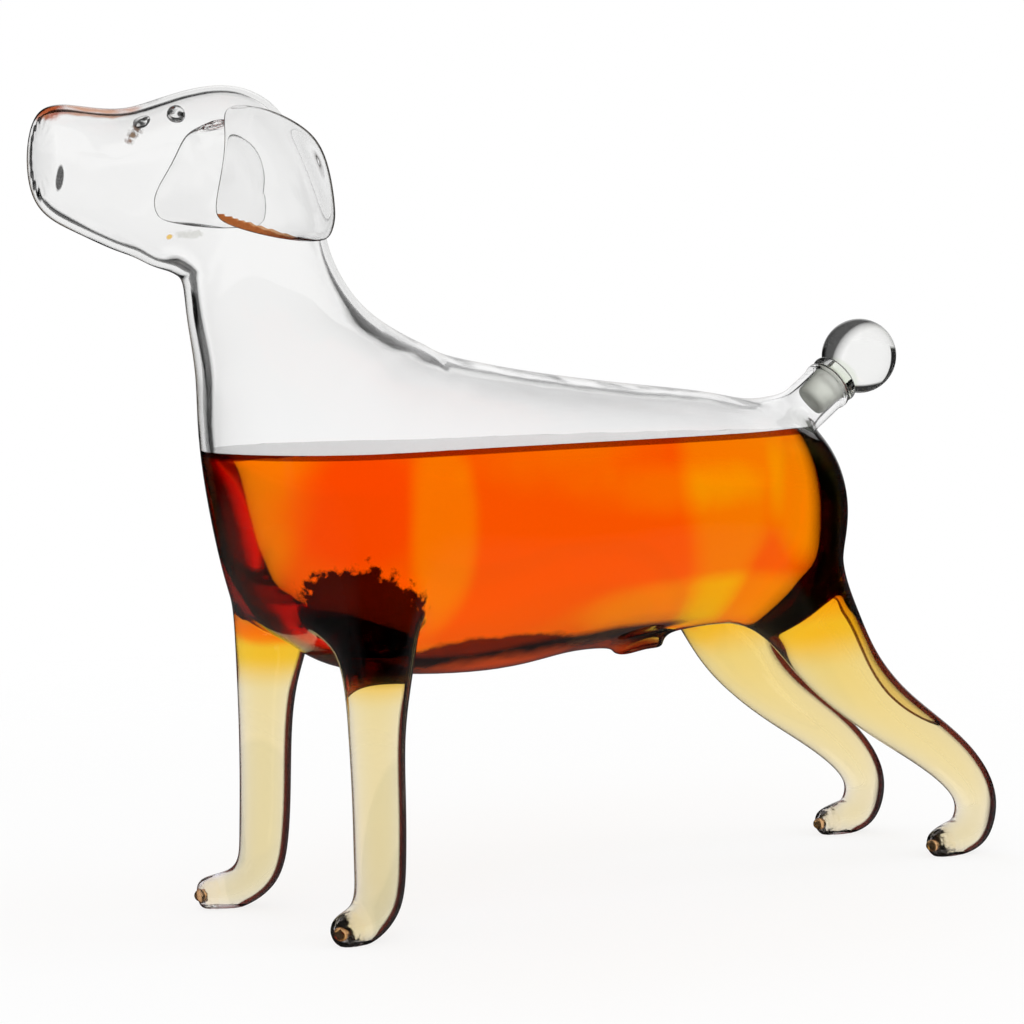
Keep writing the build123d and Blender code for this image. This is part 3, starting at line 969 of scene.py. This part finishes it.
# %% Spin a profile
def spun_piece(name, profile, origin, axis, steps=64):
    """A closed turned piece: the profile holds (radius, distance along the axis) points."""
    side = Vector((0, 1, 0))
    bpy.ops.object.select_all(action="DESELECT")
    bpy.ops.mesh.primitive_plane_add(size=mm)
    piece = bpy.context.object
    piece.name = name
    bpy.ops.object.mode_set(mode="EDIT")
    bpy.ops.mesh.select_all(action="SELECT")
    bpy.ops.mesh.merge(type="CENTER")
    here = Vector((0, 0, 0))
    for number, (radius, beyond) in enumerate(profile):
        there = origin + radius * side + beyond * axis
        if number == 0:
            bpy.ops.transform.translate(value=there - here)
        else:
            bpy.ops.mesh.extrude_vertices_move(TRANSFORM_OT_translate={"value": there - here})
        here = there
    bpy.ops.mesh.select_all(action="SELECT")
    bpy.ops.mesh.spin(steps=steps, angle=2 * math.pi, center=origin, axis=axis)
    bpy.ops.mesh.select_all(action="SELECT")
    bpy.ops.mesh.remove_doubles(threshold=0.01 * mm)
    bpy.ops.mesh.normals_make_consistent(inside=False)
    bpy.ops.object.mode_set(mode="OBJECT")
    bpy.ops.object.shade_smooth()
    return piece


def arc(radius, beyond, arc_radius, from_degrees, to_degrees, steps):
    """Points of a profile round part of a circle, beginning on the side toward the tail's base."""
    points = []
    for step in range(steps + 1):
        turn = math.radians(from_degrees + (to_degrees - from_degrees) * step / steps)
        points.append((radius + arc_radius * math.sin(turn), beyond - arc_radius * math.cos(turn)))
    return points


rim = tail_base + rim_place * tail_along
ball_radius = 12.5 * mm
ball_middle = 15.8 * mm
plug_profile = [(0, -11.5 * mm), (2.2 * mm, -11.5 * mm)]
plug_profile += arc(3.65 * mm, -9.5 * mm, 2 * mm, 0, 90, 5)
plug_profile += [(5.85 * mm, -6 * mm), (6.0 * mm, -3 * mm), (6.1 * mm, -0.3 * mm), (5.8 * mm, 0)]
collar_profile = [(4.9 * mm, 0.05 * mm), (4.6 * mm, 0.45 * mm), (5.0 * mm, 0.85 * mm)]
collar_profile += arc(7.2 * mm, 2.5 * mm, 1.5 * mm, 0, 180, 8)
ball_profile = arc(0, ball_middle, ball_radius, 20, 180, 39)
ball_profile[-1] = (0, ball_middle + ball_radius)
stopper = spun_piece("stopper_with_ball", plug_profile + collar_profile + ball_profile, rim, tail_along, 96)
print("stopper has", len(stopper.data.polygons), "faces")

# %% Ground side of the plug
stopper.data.materials.clear()
stopper.data.materials.append(stopper_glass)
stopper.data.materials.append(ground_glass)
ground_faces = 0
for face in stopper.data.polygons:
    beyond = (face.center - rim).dot(tail_along)
    if beyond < -0.1 * mm:
        face.material_index = 1
        ground_faces += 1
print("ground faces:", ground_faces)

# %% [markdown]
# ## Ears, eyes and the sealed points of the paws
# These are gathers of hot glass pressed on to the blown body. Each is a small closed form that
# sinks a little into the wall it is fused to. The nose is part of the skin of the body.


# %% Ears
pressed_parts = (             # from and to, as shares of the half length, thinner by, moved inward by
    (-2, -0.5, 0.25, 2.2 * mm),
    (-0.3, 0.3, 0.6, 0),
)


def flap(name, sections, sides, side):
    """A closed flap through flat sections, each (middle, half length along x, half thickness).

    The front edge is drawn out thin against the head, and the middle is pressed thinner than
    the rim.
    """
    bpy.ops.object.select_all(action="DESELECT")
    bpy.ops.mesh.primitive_circle_add(vertices=sides, radius=mm)
    piece = bpy.context.object
    piece.name = name
    bpy.ops.object.mode_set(mode="EDIT")
    bpy.ops.mesh.delete(type="VERT")
    for number, (middle, half_length, half_thickness) in enumerate(sections):
        add_ring(middle, Vector((0, 0, -1)), half_thickness, half_length, sides)
        first_point = number * sides
        for low_share, high_share, thinner, inward in pressed_parts:
            bpy.ops.mesh.select_all(action="DESELECT")
            ring = edit_points()
            ring.verts.ensure_lookup_table()
            for point in ring.verts[first_point:first_point + sides]:
                share = (point.co.x - middle.x) / half_length
                point.select = low_share < share < high_share
            ring.select_flush(True)
            bmesh.update_edit_mesh(piece.data)
            bpy.ops.transform.resize(value=(1, thinner, 1), center_override=middle)
            bpy.ops.transform.translate(value=(0, -side * inward, 0))
    bridge_rings(0, sides, len(sections))
    close_ring(0, sides)
    close_ring((len(sections) - 1) * sides, sides)
    bpy.ops.mesh.select_all(action="SELECT")
    bpy.ops.mesh.normals_make_consistent(inside=False)
    bpy.ops.object.mode_set(mode="OBJECT")
    finish_modifier(piece, "SUBSURF", levels=smooth_levels, render_levels=smooth_levels)
    bpy.ops.object.shade_smooth()
    return piece


head_half_width = 19 * mm
ear_half_thickness = 2.6 * mm
near_ear_rows = (             # x, y of half the head's width, z, half length in mm, half thickness
    (0.184, 0.62, 0.975, 2.5, 0.45),
    (0.186, 0.78, 0.966, 8.5, 0.90),
    (0.195, 0.97, 0.943, 14.0, 1.00),
    (0.199, 1.07, 0.905, 17.4, 1.00),
    (0.196, 1.15, 0.860, 19.6, 1.00),
    (0.200, 1.18, 0.838, 17.6, 1.00),
    (0.217, 1.19, 0.824, 10.0, 0.80),
    (0.230, 1.19, 0.817, 2.5, 0.45),
)
far_ear_rows = (
    (0.203, 0.76, 0.966, 2.5, 0.45),
    (0.205, 0.88, 0.957, 8.0, 0.90),
    (0.209, 0.98, 0.943, 14.0, 1.00),
    (0.213, 1.07, 0.912, 19.0, 1.00),
    (0.209, 1.14, 0.876, 22.5, 1.00),
    (0.210, 1.17, 0.852, 22.5, 1.00),
    (0.210, 1.18, 0.841, 18.0, 0.80),
    (0.210, 1.18, 0.836, 6.0, 0.45),
)
# The near ear is painted dark at its back edge and red-brown at its low rim, the far ear brown at its
# front edge with a pale greenish patch: the dark and brown edges are painted shade, the red-brown
# rim is a painted reflection of the liquor
near_ear_glass = glass_material(
    "near_ear_glass", ((0.74, white), (0.88, (0.012, 0.010, 0.008))), blown_scale, blown_height,
    lean=(1.15, 0, 0.15),
)
far_ear_glass = glass_material(
    "far_ear_glass", ((0.74, white), (0.90, (0.09, 0.045, 0.025))), blown_scale, blown_height,
    lean=(-1.05, 0, -0.20),
    marks=(((-0.1262, 0.022, 0.2165), (0.0042, 0.008, 0.0034), (0.55, 0.60, 0.38), 400, 0.7, 0.12, 1),),
)
# The rim glass is painted red-brown, a painted reflection of the liquor, darker at its edges
rim_reflection_glass = glass_material(
    "rim_painted_reflection_glass", ((0.15, (0.46, 0.14, 0.04)), (0.50, (0.05, 0.01, 0.004))), 420, 0.5 * mm,
)
rim_low_front = spot(0.136, 0.848)
rim_low_back = spot(0.232, 0.811)
rim_slope = (rim_low_back.z - rim_low_front.z) / (rim_low_back.x - rim_low_front.x)
rim_height = 1.0 * mm
ears = []
for side, ear_name, ear_rows, ear_glass in (
    (-1, "left_ear_flap", near_ear_rows, near_ear_glass),
    (1, "right_ear_flap", far_ear_rows, far_ear_glass),
):
    sections = []
    for x, y, z, half_length, thickness_share in pushed_out(ear_rows):
        sections.append((
            spot(x, z, side * y * head_half_width),
            half_length * mm,
            thickness_share * ear_half_thickness,
        ))
    ear = flap(ear_name, sections, leg_sides, side)
    ear.data.materials.clear()
    ear.data.materials.append(ear_glass)
    ear.data.materials.append(rim_reflection_glass)
    # On the near ear the faces along the low rim get the painted reflection
    if side < 0:
        for face in ear.data.polygons:
            rim_top = rim_low_front.z + rim_slope * (face.center.x - rim_low_front.x) + rim_height
            face.material_index = int(face.center.z < rim_top)
    ears.append(ear)
print("ears:", [len(ear.data.polygons) for ear in ears])


# %% Drops of glass for the eyes
def drop(name, middle, sizes, axis, glass, steps=24, fuller=0.06):
    """A drop of glass: a turned dome, a little fuller below its middle, stretched to size."""
    profile = []
    for step in range(steps + 1):
        turn = math.pi * step / steps
        profile.append((math.sin(turn) * (1 + fuller * math.cos(turn)), -math.cos(turn)))
    profile[0] = (0, -1)
    profile[-1] = (0, 1)
    piece = spun_piece(name, [(r * mm, h * mm) for r, h in profile], Vector((0, 0, 0)), Vector(axis), 32)
    bpy.ops.object.mode_set(mode="EDIT")
    bpy.ops.mesh.select_all(action="SELECT")
    bpy.ops.transform.resize(value=[size / mm / 2 for size in sizes], center_override=(0, 0, 0))
    bpy.ops.transform.translate(value=middle)
    bpy.ops.object.mode_set(mode="OBJECT")
    piece.data.materials.clear()
    piece.data.materials.append(glass)
    return piece


eyes = []
left_eye_low, left_eye_high = (Vector(corner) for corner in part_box("left_eye"))
eye_spot = (left_eye_low + left_eye_high) / 2
eye_size = 5.4 * mm
eye_dark_spot = (eye_spot.x, -eye_spot.y, eye_spot.z)
# The eye drops are painted dark where they are seen end on, a painted shade, and with a black spot painted
# in their middle
eye_glass = glass_material(
    "eye_drop_glass", ((0.70, white), (0.90, (0.05, 0.05, 0.05))), blown_scale, 0.1 * mm,
    marks=((eye_dark_spot, (0.0016, 0.004, 0.0014), (0.01, 0.01, 0.01), 300, 0.2, 0.1, 1),),
)
for side, eye_name in ((-1, "left_eye_drop"), (1, "right_eye_drop")):
    middle = Vector((eye_spot.x, -side * eye_spot.y, eye_spot.z))
    eyes.append(drop(eye_name, middle, (eye_size, eye_size, eye_size), (0, 0, 1), eye_glass))

# %% Points of glass where the paws were sealed
# The sealed points are painted amber-brown, a painted reflection of the liquor, darker at their edges
seal_reflection_glass = glass_material(
    "seal_painted_reflection_glass", ((0.30, (0.85, 0.55, 0.30)), (0.70, (0.14, 0.04, 0.01))), 300, 0.2 * mm,
)
seal_sizes = (4.8 * mm, 4.8 * mm, 4.0 * mm)
seals = []
for side, side_name in ((-1, "left"), (1, "right")):
    for x, y, z, name in (
        (0.2165, 1.245 * front_half_stance, 0.016, "front"),
        (0.9190, 1.025 * hind_half_stance, 0.0155, "hind"),
    ):
        seal_name = side_name + "_" + name + "_seal"
        seals.append(drop(seal_name, spot(x, z, side * y), seal_sizes, (1, 0, 0), seal_reflection_glass))
print("drops made:", len(eyes) + len(seals))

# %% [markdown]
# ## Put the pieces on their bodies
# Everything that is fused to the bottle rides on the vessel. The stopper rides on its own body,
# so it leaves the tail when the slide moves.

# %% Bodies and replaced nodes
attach(vessel, "vessel")
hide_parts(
    "torso_shell", "head_shell", "left_front_leg", "right_front_leg",
    "left_hind_leg", "right_hind_leg", "tail_neck", "nose_tip", "belly_nub",
)
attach(fill, "vessel")
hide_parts("liquor")
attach(stopper, "stopper")
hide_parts("stopper_plug", "stopper_collar", "stopper_ball")
for piece, node in zip(ears + eyes, ("left_ear", "right_ear", "left_eye", "right_eye")):
    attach(piece, "vessel")
    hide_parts(node)
for seal in seals:
    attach(seal, "vessel")
